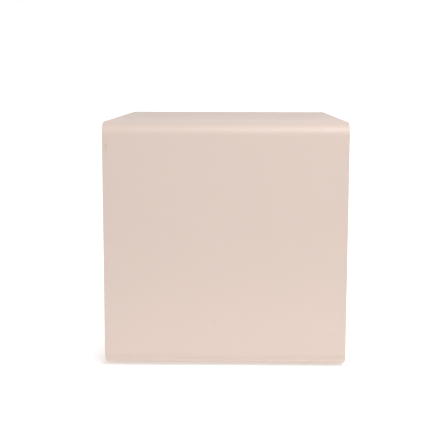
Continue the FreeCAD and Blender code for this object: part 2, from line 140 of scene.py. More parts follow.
def cut_out(mesh, cutters):
    """The mesh with every cutter's shape taken away."""
    stock = bpy.data.objects.new("stock", mesh)
    drills = bpy.data.objects.new("drills", joined_mesh("drills", cutters))
    for body in (stock, drills):
        bpy.context.scene.collection.objects.link(body)
    cut = stock.modifiers.new("holes", "BOOLEAN")
    cut.operation = "DIFFERENCE"
    cut.solver = "EXACT"
    cut.object = drills
    evaluated = stock.evaluated_get(bpy.context.evaluated_depsgraph_get())
    result = bpy.data.meshes.new_from_object(evaluated)
    result.name = mesh.name
    for body in (stock, drills):
        bpy.data.objects.remove(body)
    return result


def mesh_points(mesh):
    """A mesh's corners as an array."""
    points = np.empty(len(mesh.vertices) * 3)
    mesh.vertices.foreach_get("co", points)
    return points.reshape(-1, 3)


def joined_mesh(name, meshes):
    """One mesh that holds every given mesh as a separate shell."""
    points, faces, start = [], [], 0
    for mesh in meshes:
        points.append(mesh_points(mesh))
        faces += [[start + corner for corner in face.vertices] for face in mesh.polygons]
        start += len(mesh.vertices)
    joined = bpy.data.meshes.new(name)
    joined.from_pydata(np.concatenate(points).tolist(), [], faces)
    return joined


def placed_copy(mesh, place):
    """A copy of a mesh, moved and turned by a 4 by 4 matrix."""
    copy = mesh.copy()
    copy.transform(place)
    return copy


def face_centres(mesh):
    """The middle of every face as an array."""
    centres = np.empty(len(mesh.polygons) * 3)
    mesh.polygons.foreach_get("center", centres)
    return centres.reshape(-1, 3)


def piece(name, mesh, materials, slot, *nodes, chooser=None):
    """Shows a mesh as a piece in place of CAD nodes. chooser gives each face's material number."""
    mesh.name = name
    mesh.materials.clear()
    for material in materials:
        mesh.materials.append(material)
    chosen = np.zeros(len(mesh.polygons), dtype=np.int32)
    if chooser is not None:
        chosen = chooser(face_centres(mesh)).astype(np.int32)
    mesh.polygons.foreach_set("material_index", chosen)
    mesh.shade_smooth()
    mesh.set_sharp_from_angle(angle=SMOOTH_BELOW)
    shown = bpy.data.objects.new(name, mesh)
    bpy.context.scene.collection.objects.link(shown)
    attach(shown, "root")
    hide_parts(*nodes)


# ---------------------------------------------------------------------------
# Shapes
# ---------------------------------------------------------------------------

def quarter(steps):
    """Angles from nothing to a quarter turn."""
    return np.linspace(0, math.pi / 2, steps + 1)


def arc_points(centre, radius, start, steps):
    """Points on a quarter circle: centre plus radius times (cos, sin), anticlockwise from start."""
    angles = start + quarter(steps)
    return np.array(centre) + radius * np.stack([np.cos(angles), np.sin(angles)], axis=1)


def between(start, end, step):
    """Evenly spaced points from start up to but not including end, about a step apart."""
    start, end = np.array(start, float), np.array(end, float)
    count = max(1, round(float(np.linalg.norm(end - start)) / step))
    share = np.arange(count)[:, None] / count
    return start + (end - start) * share


def drawn_along(profile, stations, axis):
    """A closed profile carried along one axis: its two columns fill the other axes, in order."""
    others = [number for number in range(3) if number != axis]
    rings = np.empty((len(stations), len(profile), 3))
    rings[:, :, others[0]] = profile[:, 0]
    rings[:, :, others[1]] = profile[:, 1]
    rings[:, :, axis] = np.asarray(stations)[:, None]
    return rings


def turned(profile, steps):
    """A closed profile (radius, height) swung once round the Z axis."""
    angles = np.linspace(0, 2 * math.pi, steps, endpoint=False)[:, None]
    radius, height = profile[:, 0], profile[:, 1]
    return np.stack([radius * np.cos(angles), radius * np.sin(angles), height + 0 * angles], axis=2)


def rod(name, radius, length, steps=32):
    """A plain drill-shaped rod up the Z axis from the origin, used only to cut holes."""
    circle = turned(np.array([[radius, 0.0], [radius, length]]), steps)
    return shell(name, circle.transpose(1, 0, 2))


GRID_STEP = 7 * MM
FINE_STEP = 1 * MM
WAVE_DEPTH = 0.035 * MM  # how far a sanded face lies under true flat, at most
WAVES = ((2, 1, 0.3), (1, 3, 1.9), (4, 3, 4.1), (5, 6, 2.6))  # counts across and up, and a phase


def hand_flatness(across, up):
    """Depth of a hand-sanded face under true flat, for places from 0 to 1 across and up.

    It is a sum of cosines, squeezed to between nothing and the full depth, times a window that
    falls to nothing at the face's own edges, so that neighbours still meet flush.
    """
    swell = sum(np.cos(math.pi * (a * across + b * up) + phase) for a, b, phase in WAVES)
    window = (16 * across * (1 - across) * up * (1 - up)) ** 0.5
    return WAVE_DEPTH * window * (0.5 + 0.5 * swell / len(WAVES))


def grooved_profile(outer, inner, half_width):
    """A board's section: a finely divided outer side, and an inner side with the rib's groove."""
    out = 1 if outer > inner else -1
    floor = inner + out * GROOVE_DEPTH
    outside = between((-half_width, outer), (half_width, outer), GRID_STEP)
    inside = np.array([
        (half_width, outer),
        (half_width, inner),
        (GROOVE_HALF, inner),
        (GROOVE_HALF, floor),
        (-GROOVE_HALF, floor),
        (-GROOVE_HALF, inner),
        (-half_width, inner),
    ])
    return np.concatenate([outside, inside])


def board_mesh(name, low, high, axis, thick_axis, outward):
    """A flat board with a groove inside: its section carried along an axis, its face hand-sanded."""
    outer, inner = (high, low) if outward > 0 else (low, high)
    profile = grooved_profile(outer[thick_axis], inner[thick_axis], high[0])
    steps = round((high[axis] - low[axis]) / GRID_STEP)
    stations = np.linspace(low[axis], high[axis], steps + 1)
    rings = drawn_along(profile, stations, axis)
    on_face = np.isclose(rings[:, :, thick_axis], outer[thick_axis])
    across = (rings[:, :, 0] - low[0]) / (high[0] - low[0])
    along = (rings[:, :, axis] - low[axis]) / (high[axis] - low[axis])
    depth = hand_flatness(np.clip(across, 0, 1), np.clip(along, 0, 1))
    rings[:, :, thick_axis] -= np.where(on_face, outward * depth, 0)
    return shell(name, rings)


ROUND_STEPS = 80


def rail_profile(depth_side, height_side):
    """A corner rail's section: a quarter round outside, and a rebate for each of two boards."""
    round_over = arc_points((ROUND, ROUND), ROUND, math.pi, ROUND_STEPS)
    rest = np.array([(ROUND, BOARD), (RAIL, BOARD), (RAIL, RAIL), (BOARD, RAIL), (BOARD, ROUND)])
    inwards = np.concatenate([round_over, rest])
    corner = (depth_side * HALF_DEPTH, HEAD if height_side > 0 else FOOT)
    return np.array(corner) - inwards * (depth_side, height_side)


def end_outline():
    """The end boards' outline in (y, z) and its outward normals: an oblong with four round corners.

    The straight run at the front is divided finely enough to carry small dents.
    """
    half = HALF_DEPTH - ROUND
    low, high = FOOT + ROUND, HEAD - ROUND
    corners = [(half, high), (-half, high), (-half, low), (half, low)]
    points, normals = [], []
    for number, centre in enumerate(corners):
        start = number * math.pi / 2
        arc = arc_points(centre, ROUND, start, ROUND_STEPS)
        normals.append(arc_points((0, 0), 1, start, ROUND_STEPS)[:-1])
        turn = start + math.pi / 2
        side = np.array([math.cos(turn), math.sin(turn)])
        following = np.array(corners[(number + 1) % 4])
        run = between(arc[-1], following + ROUND * side, FINE_STEP if number == 1 else GRID_STEP)
        normals.append(np.tile(side, (len(run), 1)))
        points += [arc[:-1], run]
    return np.concatenate(points), np.concatenate(normals)


RIM_LOOPS = 12
ARRIS_STEPS = 8
FACE_LOOPS = 34
TICK_HEIGHT = FOOT + 409 * MM  # a knock on the left end board's front edge
TICK_DEPTH = 0.3 * MM
TICK_REACH = (1.6 * MM, 4.5 * MM)  # across the edge, and up it


def knock(depth_places, heights, across):
    """Depth of the knock: a bell curve across the edge times a bell curve up it, at the front only."""
    bell = np.exp(-(across / TICK_REACH[0]) ** 2 - ((heights - TICK_HEIGHT) / TICK_REACH[1]) ** 2)
    return TICK_DEPTH * bell * (depth_places < -HALF_DEPTH + ROUND / 10)


def end_board_mesh(name, side):
    """An end board, from its inner face over its rim and its softened arris to its outer face.

    The rim is the outline repeated across the thickness. The arris is a quarter round whose radius
    wanders a little round the outline, as hand sanding leaves it. The outer face is the outline
    shrunk towards its middle, loop after loop, with the face's sanded swell.
    """
    outline, normals = end_outline()
    turn = np.linspace(0, 2 * math.pi, len(outline), endpoint=False)
    arris = ARRIS * (1 + 0.1 * np.cos(5 * turn + side) + 0.07 * np.cos(13 * turn + 2))
    inner, outer = END_LOW[0], END_HIGH[0]
    loops = []
    for reach in np.linspace(inner, outer - 1.4 * ARRIS, RIM_LOOPS):
        dent = knock(outline[:, 0], outline[:, 1], reach - (inner + outer) / 2) * (side < 0)
        loops.append((outline - normals * dent[:, None], np.full(len(outline), reach)))
    for angle in quarter(ARRIS_STEPS):
        place = outline - normals * (arris * (1 - math.cos(angle)))[:, None]
        loops.append((place, outer - arris * (1 - math.sin(angle))))
    middle = np.array([0, MIDDLE_HEIGHT])
    face = loops[-1][0]
    for share in np.linspace(1, 0.03, FACE_LOOPS)[1:]:
        place = middle + (face - middle) * share
        across = 0.5 + place[:, 0] / (2 * HALF_DEPTH)
        up = (place[:, 1] - FOOT) / (HEAD - FOOT)
        loops.append((place, outer - hand_flatness(across, up)))
    rings = np.array([np.column_stack([side * reach, place]) for place, reach in loops])
    mesh = shell(name, rings)
    softened = np.zeros(rings.shape[:2])
    softened[RIM_LOOPS - 1:RIM_LOOPS + ARRIS_STEPS + 1] = 1
    worn = mesh.attributes.new("handled_edge", "FLOAT", "POINT")
    worn.data.foreach_set("value", softened.ravel().astype(np.float32))
    return mesh


def islands(node):
    """Box (low, high) of every separate solid in a CAD node, found by spreading labels over edges."""
    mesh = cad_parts[node].data
    points, label = np.unique(np.round(mesh_points(mesh), 6), axis=0, return_inverse=True)
    label = label.ravel()
    edges = np.empty(len(mesh.edges) * 2, dtype=np.int32)
    mesh.edges.foreach_get("vertices", edges)
    first, second = label[edges.reshape(-1, 2)].T
    group = np.arange(len(points))
    while True:
        lowest = np.minimum(group[first], group[second])
        before = group.copy()
        np.minimum.at(group, first, lowest)
        np.minimum.at(group, second, lowest)
        group = group[group]
        if (group == before).all():
            break
    return [(points[group == one].min(0), points[group == one].max(0)) for one in np.unique(group)]


def facing(place, direction):
    """A placement at a point that turns the Z axis to a direction."""
    turn = Vector((0, 0, 1)).rotation_difference(Vector(direction)).to_matrix().to_4x4()
    return Matrix.Translation(Vector(place)) @ turn


def drill_rods(boxes, axis, start, reach, radius):
    """Rods on the middles of boxes, along an axis, from start for a signed reach, to cut holes with."""
    direction = np.eye(3)[axis] * np.sign(reach)
    rods = []
    for low, high in boxes:
        place = (low + high) / 2
        place[axis] = start
        rods.append(placed_copy(rod("drill", radius, abs(reach)), facing(place, direction)))
    return rods


FLUTES = 16
FLUTE_DEPTH = 0.28 * MM
DOWEL_CHAMFER = 1.1 * MM


def dowel_mesh(name, radius, length):
    """A beech dowel up Z: straight flutes pressed into a round pin, its two ends chamfered.

    Its radius is the full one less a flute depth times ((1 + cos(flutes x angle)) / 2) squared.
    """
    angles = np.linspace(0, 2 * math.pi, FLUTES * 7, endpoint=False)
    flute = FLUTE_DEPTH * ((1 + np.cos(FLUTES * angles)) / 2) ** 2
    end = DOWEL_CHAMFER * np.array([0, 0.55, 1])
    heights = np.concatenate([end, np.linspace(0.1, 0.9, 5) * length, length - end[::-1]])
    taper = np.interp(np.minimum(heights, length - heights), [0, DOWEL_CHAMFER], [0.82, 1.0])
    reach = (radius - flute)[None, :] * taper[:, None]
    rings = np.empty((len(heights), len(angles), 3))
    rings[:, :, 0] = reach * np.cos(angles)
    rings[:, :, 1] = reach * np.sin(angles)
    rings[:, :, 2] = heights[:, None]
    return shell(name, rings)


SCREW_POINT = 5 * MM  # length of a screw's tapered point
CROSS_HALF_WIDTH = 0.45 * MM
CROSS_DEPTH = 1.2 * MM


def screw_mesh(name, shank, length):
    """A countersunk wood screw that points up Z, with the flat of its head at the origin.

    Its radius follows head, cone and plain shank. Over the threaded part it is the core plus a sharp
    ridge, where the phase of the ridge is height over pitch less angle over a full turn.
    """
    head = 2 * shank
    rim = 0.03 * head
    pitch = 0.9 * shank
    angles = np.linspace(0, 2 * math.pi, 22, endpoint=False)
    top = np.array([0, rim, head - shank, head])
    threaded = np.arange(max(0.3 * length, head), length, pitch / 7)
    heights = np.concatenate([top, threaded, [length]])
    outline = [0.95 * head, 0.97 * head, shank, shank]
    plain = np.interp(heights, [0, rim, head - shank, length], outline)
    phase = (heights[:, None] / pitch - angles[None, :] / (2 * math.pi)) % 1
    ridge = np.clip(1 - np.abs(2 * phase - 1) / 0.5, 0, 1)
    fade = np.clip((heights - threaded[0]) / (1.5 * pitch), 0, 1)[:, None]
    radius = plain[:, None] * (1 - fade * 0.3 * (1 - ridge))
    point = np.clip((length - heights) / SCREW_POINT, 0.03, 1)[:, None]
    rings = np.empty((*radius.shape, 3))
    rings[:, :, 0] = radius * point * np.cos(angles)
    rings[:, :, 1] = radius * point * np.sin(angles)
    rings[:, :, 2] = heights[:, None]
    slot, arm = CROSS_HALF_WIDTH, 1.1 * shank
    quarter_cross = np.array([(arm, -slot), (arm, slot), (slot, slot)])
    swing = np.array([[0, -1], [1, 0]])
    cross = [quarter_cross]
    for _ in range(3):
        cross.append(cross[-1] @ swing.T)
    cross = np.concatenate(cross)
    depths = np.array([-0.3 * MM, 0, CROSS_DEPTH])
    widths = np.array([1.0, 1.0, 0.45])
    recess = np.empty((3, len(cross), 3))
    recess[:, :, :2] = cross * widths[:, None, None]
    recess[:, :, 2] = depths[:, None]
    return cut_out(shell(name, rings), [shell("cross_recess", recess)])


LOW_RIM = 1.0 * MM
HIGH_RIM = 0.3 * MM
GLIDE_BORE = 1.85 * MM
SEAT = MM * np.array([(3.3, 0.8), (3.6, 0.55), (3.6, 0.35), (3.95, 0)])  # radius and height
RING_MARK = MM * np.array([(7.2, 0), (7.4, 0.18), (7.8, 0.25), (8.2, 0.18), (8.4, 0)])


def glide_mesh(name, radius, height):
    """A moulded glide: a closed profile of radius and height swung round, with a rounded rim, a
    shallow ring mark on its tread, a dished seat for the screw head and a bore for the shank."""
    low_rim = arc_points((radius - LOW_RIM, LOW_RIM), LOW_RIM, -math.pi / 2, 8)
    high_rim = arc_points((radius - HIGH_RIM, height - HIGH_RIM), HIGH_RIM, 0, 4)
    bore = [(GLIDE_BORE, height), (GLIDE_BORE, SEAT[0, 1])]
    profile = np.concatenate([bore, SEAT, RING_MARK, low_rim, high_rim])
    return shell(name, turned(profile, 96), capped=False)


# ---------------------------------------------------------------------------
# Materials
# ---------------------------------------------------------------------------

class Finish:
    """A material under construction: small calls that add nodes and join them up."""

    def __init__(self, name, ior=1.5):
        self.material = bpy.data.materials.new(name)
        self.material.use_nodes = True
        self.nodes = self.material.node_tree.nodes
        self.links = self.material.node_tree.links
        self.surface = self.nodes["Principled BSDF"]
        self.surface.inputs["IOR"].default_value = ior
        self.place = self.nodes.new("ShaderNodeTexCoord").outputs["Object"]

    def put(self, source, socket):
        """Joins a node's output to a socket, or sets the socket to a plain value."""
        if isinstance(source, bpy.types.NodeSocket):
            self.links.new(source, socket)
        else:
            socket.default_value = source

    def sum(self, operation, first, second=0.0, clamp=False):
        """One step of arithmetic."""
        node = self.nodes.new("ShaderNodeMath")
        node.operation = operation
        node.use_clamp = clamp
        self.put(first, node.inputs[0])
        self.put(second, node.inputs[1])
        return node.outputs[0]

    def spread(self, source, low, high, to_low, to_high):
        """Reads a value between low and high as one between to_low and to_high, smoothly."""
        node = self.nodes.new("ShaderNodeMapRange")
        node.interpolation_type = "SMOOTHSTEP"
        self.put(source, node.inputs["Value"])
        limits = {"From Min": low, "From Max": high, "To Min": to_low, "To Max": to_high}
        for socket, value in limits.items():
            node.inputs[socket].default_value = value
        return node.outputs["Result"]

    def stretched(self, scale, shift=(0, 0, 0)):
        """Object coordinates times a scale for each axis, plus a shift."""
        node = self.nodes.new("ShaderNodeMapping")
        self.put(self.place, node.inputs["Vector"])
        node.inputs["Scale"].default_value = scale
        node.inputs["Location"].default_value = shift
        return node.outputs["Vector"]

    def grain(self, place, scale, detail=2.0, roughness=0.5):
        """Noise from 0 to 1. Its features are about one over scale across."""
        node = self.nodes.new("ShaderNodeTexNoise")
        self.put(place, node.inputs["Vector"])
        node.inputs["Scale"].default_value = scale
        node.inputs["Detail"].default_value = detail
        node.inputs["Roughness"].default_value = roughness
        return node.outputs["Fac"]

    def blend(self, share, first, second):
        """A colour between two colours."""
        node = self.nodes.new("ShaderNodeMix")
        node.data_type = "RGBA"
        self.put(share, node.inputs["Factor"])
        for source, number in ((first, 6), (second, 7)):
            self.put((*source, 1) if isinstance(source, tuple) else source, node.inputs[number])
        return node.outputs[2]

    def bump(self, height, depth, under=None):
        """Surface relief of a depth in metres, on top of another relief if one is given."""
        node = self.nodes.new("ShaderNodeBump")
        node.inputs["Strength"].default_value = 1
        node.inputs["Distance"].default_value = depth
        self.put(height, node.inputs["Height"])
        if under is not None:
            self.put(under, node.inputs["Normal"])
        return node.outputs["Normal"]

    def done(self, colour, roughness, relief=None, metal=0.0):
        """Sets the surface's colour, roughness, relief and metal share, and gives the material."""
        self.put(colour, self.surface.inputs["Base Color"])
        self.put(roughness, self.surface.inputs["Roughness"])
        self.surface.inputs["Metallic"].default_value = metal
        if relief is not None:
            self.put(relief, self.surface.inputs["Normal"])
        return self.material


PAINT = (0.665, 0.540, 0.478)
SCUFF_COLOUR = (0.36, 0.27, 0.22)
RUBBED_COLOUR = (0.80, 0.70, 0.62)
SCUFF_REACH = 12 * MM  # front to back, so that a mark stays on the face it lies on
# Marks of handling on the front: place across, height above the box's underside, half width, half
# height (all mm), and how dark.
SCUFFS = (
    (-218, 409, 3.0, 10, 1.7),
    (-214, 421, 9, 6, 0.24),
    (-21, 85, 2.4, 16, 0.55),
    (197, 59, 6, 8, 0.42),
    (-201, 225, 9, 12, 0.16),
    (-54, 106, 1.6, 26, 0.14),
    (47, 210, 1.8, 30, 0.12),
    (134, 277, 1.6, 24, 0.12),
    (-10, 314, 1.8, 26, 0.12),
    (76, 366, 1.5, 22, 0.13),
    (180, 361, 1.7, 26, 0.14),
)


def scuff_mask(finish):
    """How dark the marks of handling are: soft ellipsoids set on the front, broken up by noise."""
    total = None
    for across, height, half_width, half_height, strength in SCUFFS:
        scale = (1 / (half_width * MM), 1 / SCUFF_REACH, 1 / (half_height * MM))
        centre = (across * MM, -HALF_DEPTH, FOOT + height * MM)
        blob = finish.nodes.new("ShaderNodeTexGradient")
        blob.gradient_type = "QUADRATIC_SPHERE"
        shift = tuple(-place * factor for place, factor in zip(centre, scale))
        finish.put(finish.stretched(scale, shift), blob.inputs["Vector"])
        mark = finish.sum("MULTIPLY", blob.outputs["Fac"], strength)
        total = mark if total is None else finish.sum("ADD", total, mark)
    breakup = finish.spread(finish.grain(finish.place, 900, 3, 0.6), 0.3, 0.65, 0.35, 1.0)
    return finish.sum("MULTIPLY", total, breakup, clamp=True)


def satin_paint(name):
    """Sprayed satin lacquer: fine orange peel, faint clouding, handling marks, rubbed arrises."""
    finish = Finish(name)
    cloud = finish.sum("MULTIPLY", finish.grain(finish.place, 9, 3, 0.55), 0.035)
    mottle = finish.sum("MULTIPLY", finish.grain(finish.place, 60, 3, 0.6), 0.02)
    shade = finish.sum("ADD", cloud, mottle)
    colour = finish.blend(shade, PAINT, tuple(channel * 0.6 for channel in PAINT))
    marks = scuff_mask(finish)
    colour = finish.blend(finish.sum("MULTIPLY", marks, 0.45), colour, SCUFF_COLOUR)
    edge = finish.nodes.new("ShaderNodeAttribute")
    edge.attribute_name = "handled_edge"
    rubbed = finish.spread(finish.grain(finish.place, 220, 4, 0.65), 0.52, 0.68, 0.0, 0.35)
    rubbed = finish.sum("MULTIPLY", rubbed, edge.outputs["Fac"])
    colour = finish.blend(rubbed, colour, RUBBED_COLOUR)
    wiped = finish.grain(finish.stretched((1, 1, 0.25)), 22, 4, 0.6)
    gloss = finish.spread(wiped, 0.3, 0.7, 0.44, 0.52)
    gloss = finish.sum("ADD", gloss, finish.sum("MULTIPLY", marks, 0.2))
    peel = finish.bump(finish.grain(finish.place, 420, 2, 0.45), 0.018 * MM)
    dust = finish.spread(finish.grain(finish.place, 1700, 1), 0.72, 0.85, 0, 1)
    return finish.done(colour, gloss, finish.bump(dust, 0.01 * MM, peel))


def fibre_board(name, light, dark, roughness):
    """Raw fibreboard: short pressed fibres, a few dark flecks, a soft matt face."""
    finish = Finish(name, ior=1.45)
    fibre = finish.grain(finish.place, 1100, 5, 0.7)
    patch = finish.grain(finish.place, 45, 3)
    share = finish.sum("ADD", finish.sum("MULTIPLY", fibre, 0.75), finish.sum("MULTIPLY", patch, 0.25))
    colour = finish.blend(finish.spread(share, 0.36, 0.64, 0, 1), light, dark)
    fleck = finish.grain(finish.stretched((1, 1, 1), (3, 1, 7)), 620, 2)
    fleck = finish.spread(fleck, 0.68, 0.76, 0, 0.55)
    colour = finish.blend(fleck, colour, tuple(channel * 0.45 for channel in dark))
    gloss = finish.spread(fibre, 0.3, 0.7, roughness - 0.07, roughness + 0.07)
    return finish.done(colour, gloss, finish.bump(fibre, 0.06 * MM))


def long_grain(name, axis, light, dark, ring_gap, roughness=0.6, fleck=0.0):
    """Planed wood with its grain along an axis: growth rings, fine pores, and flecks if wanted."""
    finish = Finish(name, ior=1.45)
    scale = [1.0, 1.0, 1.0]
    scale[axis] = 0.06
    along = finish.stretched(tuple(scale), (0.013, 0.021, 0.017))
    ring = finish.nodes.new("ShaderNodeTexWave")
    ring.wave_type = "RINGS"
    ring.rings_direction = "XYZ"[axis]
    finish.put(along, ring.inputs["Vector"])
    ring.inputs["Scale"].default_value = 0.314 / ring_gap
    ring.inputs["Distortion"].default_value = 3.5
    ring.inputs["Detail"].default_value = 3
    ring.inputs["Detail Scale"].default_value = 0.25
    late = finish.spread(ring.outputs["Fac"], 0.25, 1.0, 0.0, 1.0)
    pore = finish.grain(along, 1500, 4, 0.65)
    share = finish.sum("ADD", finish.sum("MULTIPLY", late, 0.7), finish.sum("MULTIPLY", pore, 0.45))
    colour = finish.blend(finish.spread(share, 0.15, 0.95, 0, 1), light, dark)
    spot = finish.spread(finish.grain(along, 520, 1), 0.66, 0.74, 0.0, fleck)
    colour = finish.blend(spot, colour, tuple(channel * 0.55 for channel in dark))
    gloss = finish.spread(pore, 0.3, 0.7, roughness - 0.06, roughness + 0.08)
    return finish.done(colour, gloss, finish.bump(pore, 0.05 * MM))


def moulded_nylon(name):
    """Natural nylon: slightly yellowed, finely textured by its mould, scuffed grey by floors."""
    finish = Finish(name, ior=1.53)
    scuffed = finish.spread(finish.grain(finish.place, 700, 4, 0.7), 0.5, 0.75, 0.0, 0.3)
    colour = finish.blend(scuffed, (0.82, 0.81, 0.77), (0.52, 0.50, 0.47))
    gloss = finish.spread(finish.grain(finish.place, 300, 2), 0.3, 0.7, 0.38, 0.55)
    finish.surface.inputs["Subsurface Weight"].default_value = 0.08
    return finish.done(colour, gloss, finish.bump(finish.grain(finish.place, 4000, 2), 0.01 * MM))


def zinc_plate(name):
    """Bright zinc plating: a cloudy metal with fine scratches and a faint straw tint in places."""
    finish = Finish(name)
    cloud = finish.grain(finish.place, 800, 3, 0.6)
    bright, straw = (0.60, 0.61, 0.62), (0.66, 0.63, 0.54)
    colour = finish.blend(finish.spread(cloud, 0.35, 0.65, 0, 1), bright, straw)
    gloss = finish.spread(finish.grain(finish.place, 2600, 3, 0.7), 0.3, 0.7, 0.24, 0.42)
    return finish.done(colour, gloss, finish.bump(cloud, 0.006 * MM), metal=1.0)


def sealed_fibre_board(name):
    """Fibreboard under one brushed coat of clear sealer: darker, with brush lines from side to side."""
    finish = Finish(name)
    brush = finish.grain(finish.stretched((0.03, 1, 1)), 700, 3, 0.6)
    fibre = finish.grain(finish.place, 900, 4, 0.7)
    share = finish.sum("ADD", finish.sum("MULTIPLY", fibre, 0.6), finish.sum("MULTIPLY", brush, 0.4))
    light, dark = (0.66, 0.58, 0.50), (0.54, 0.46, 0.39)
    colour = finish.blend(finish.spread(share, 0.38, 0.62, 0, 1), light, dark)
    gloss = finish.spread(brush, 0.35, 0.65, 0.42, 0.6)
    relief = finish.bump(fibre, 0.02 * MM, finish.bump(brush, 0.04 * MM))
    return finish.done(colour, gloss, relief)


GLOW_STARTS = -0.46  # front to back, where the paper's own light begins to rise
GLOW_FULL = -0.03


def studio_white(name, floor_glow, table_glow, wall_glow):
    """The paper sweep: matt white with a painted glow of its own (emission, not a lamp): most under the
    plinth and on the floor behind it, less on the wall, and on the floor in front and high up only the
    floor's glow."""
    finish = Finish(name)
    tooth = finish.grain(finish.place, 12, 2)
    tooth = finish.spread(tooth, 0.3, 0.7, 0, 1)
    colour = finish.blend(tooth, (0.90, 0.90, 0.90), (0.91, 0.91, 0.91))
    split = finish.nodes.new("ShaderNodeSeparateXYZ")
    finish.put(finish.place, split.inputs[0])
    table = finish.spread(split.outputs["Z"], 0.05, 0.9, table_glow - wall_glow, 0.0)
    wall = finish.spread(split.outputs["Z"], 1.0, 1.8, wall_glow, 0.0)
    behind = finish.spread(split.outputs["Y"], GLOW_STARTS, GLOW_FULL, 0.0, 1.0)
    # painted light: the paper's own emission, no lamp, strongest under and behind the plinth
    glow = finish.sum("MULTIPLY", finish.sum("ADD", table, wall), behind)
    finish.surface.inputs["Specular IOR Level"].default_value = 0.1
    finish.surface.inputs["Emission Color"].default_value = (1, 1, 1, 1)
    finish.put(finish.sum("ADD", glow, floor_glow), finish.surface.inputs["Emission Strength"])
    return finish.done(colour, 0.9)


PINE = ((0.78, 0.61, 0.39), (0.58, 0.38, 0.20), 2.6 * MM)  # early wood, late wood, ring gap
PAINTED = satin_paint("satin_blush_paint")
RAW_BOARD = fibre_board("raw_fibre_board", (0.56, 0.42, 0.28), (0.40, 0.28, 0.17), 0.78)
SEALED_BOARD = sealed_fibre_board("sealed_fibre_board")
TULIPWOOD = long_grain("tulipwood_along_width", 0, (0.62, 0.52, 0.34), (0.44, 0.37, 0.22), 3.2 * MM)
PINE_WIDE = long_grain("pine_along_width", 0, *PINE)
PINE_DEEP = long_grain("pine_along_depth", 1, *PINE)
PINE_TALL = long_grain("pine_along_height", 2, *PINE)
BEECH = long_grain("beech_along_width", 0, (0.72, 0.54, 0.36), (0.60, 0.41, 0.26), 1.6 * MM, fleck=0.7)
NYLON = moulded_nylon("natural_nylon")
ZINC = zinc_plate("bright_zinc_plate")


# ---------------------------------------------------------------------------
# The painted shell
# ---------------------------------------------------------------------------

PAINT_OVER_BOARD = (PAINTED, RAW_BOARD)
DOWELS = islands("rail_dowels")
BASE_SCREWS = islands("base_screws")
CLEAT_SCREWS = islands("cleat_screws")
GLIDE_SCREWS = islands("glide_screws")
OVERSHOOT = 1 * MM  # how far a drill rod starts outside the wood, so that it cuts the face cleanly
END_ZONE = 20 * MM  # a rail's dowels lie this near to its end
PAINT_SKIN = 0.5 * MM  # a board's faces this near to its outer plane are painted
ROUND_SKIN = 0.985  # share of the roundover's radius past which a rail is painted
RAIL_LOOPS = 62


def off_face(axis, outer):
    """Chooses the second material for every face that isn't on the plane of the outer face."""
    return lambda centres: np.abs(centres[:, axis] - outer) > PAINT_SKIN


for side, word in ((-1, "front"), (1, "back")):
    low, high = box_of(f"{word}_panel")
    outer = side * HALF_DEPTH
    name = f"painted_{word}_board"
    board = board_mesh(name, low, high, 2, 1, side)
    raw = off_face(1, outer)
    piece(name, board, PAINT_OVER_BOARD, "painted_board", f"{word}_panel", chooser=raw)

board = board_mesh("painted_top_board", TOP_LOW, TOP_HIGH, 1, 2, 1)
raw = off_face(2, HEAD)
piece("painted_top_board", board, PAINT_OVER_BOARD, "painted_board", "top_panel", chooser=raw)


def round_centre(depth_side, height_side):
    """The middle (y, z) of a corner rail's roundover."""
    return depth_side * (HALF_DEPTH - ROUND), HEAD - ROUND if height_side > 0 else FOOT + ROUND


def rail_mesh(name, depth_side, height_side):
    """A corner rail: its section carried from end board to end board, its round hand-sanded."""
    profile = rail_profile(depth_side, height_side)
    stations = np.linspace(-RAIL_END, RAIL_END, RAIL_LOOPS)
    rings = drawn_along(profile, stations, 0)
    on_round = np.arange(len(profile)) <= ROUND_STEPS
    turn = np.where(on_round, np.arange(len(profile)) / ROUND_STEPS, 0)[None, :]
    across = np.linspace(0, 1, len(stations))[:, None]
    depth = np.where(on_round, hand_flatness(across, turn), 0)
    offset = rings[:, :, 1:] - round_centre(depth_side, height_side)
    rings[:, :, 1:] -= offset / np.linalg.norm(offset, axis=2, keepdims=True) * depth[:, :, None]
    return shell(name, rings)


def inside_rail(depth_side, height_side):
    """Chooses bare wood for every face that isn't on the rail's round."""
    sides = (depth_side, height_side)

    def chosen(centres):
        depth, height = ((centres[:, 1:] - round_centre(*sides)) * sides).T
        on_round = (np.hypot(depth, height) > ROUND * ROUND_SKIN) & (depth > 0) & (height > 0)
        return ~on_round

    return chosen


def inside_box(boxes, low, high):
    """Those boxes whose middles lie between two corners."""
    middles = [(box[0] + box[1]) / 2 for box in boxes]
    pairs = zip(boxes, middles)
    return [box for box, middle in pairs if (middle > low).all() and (middle < high).all()]


def hole_radius(box, taper=1):
    """A hole round a box's dowel, or round a screw whose head is taper times as wide as its shank."""
    low, high = box
    return (high[1] - low[1]) / 2 / taper + BORE_CLEARANCE


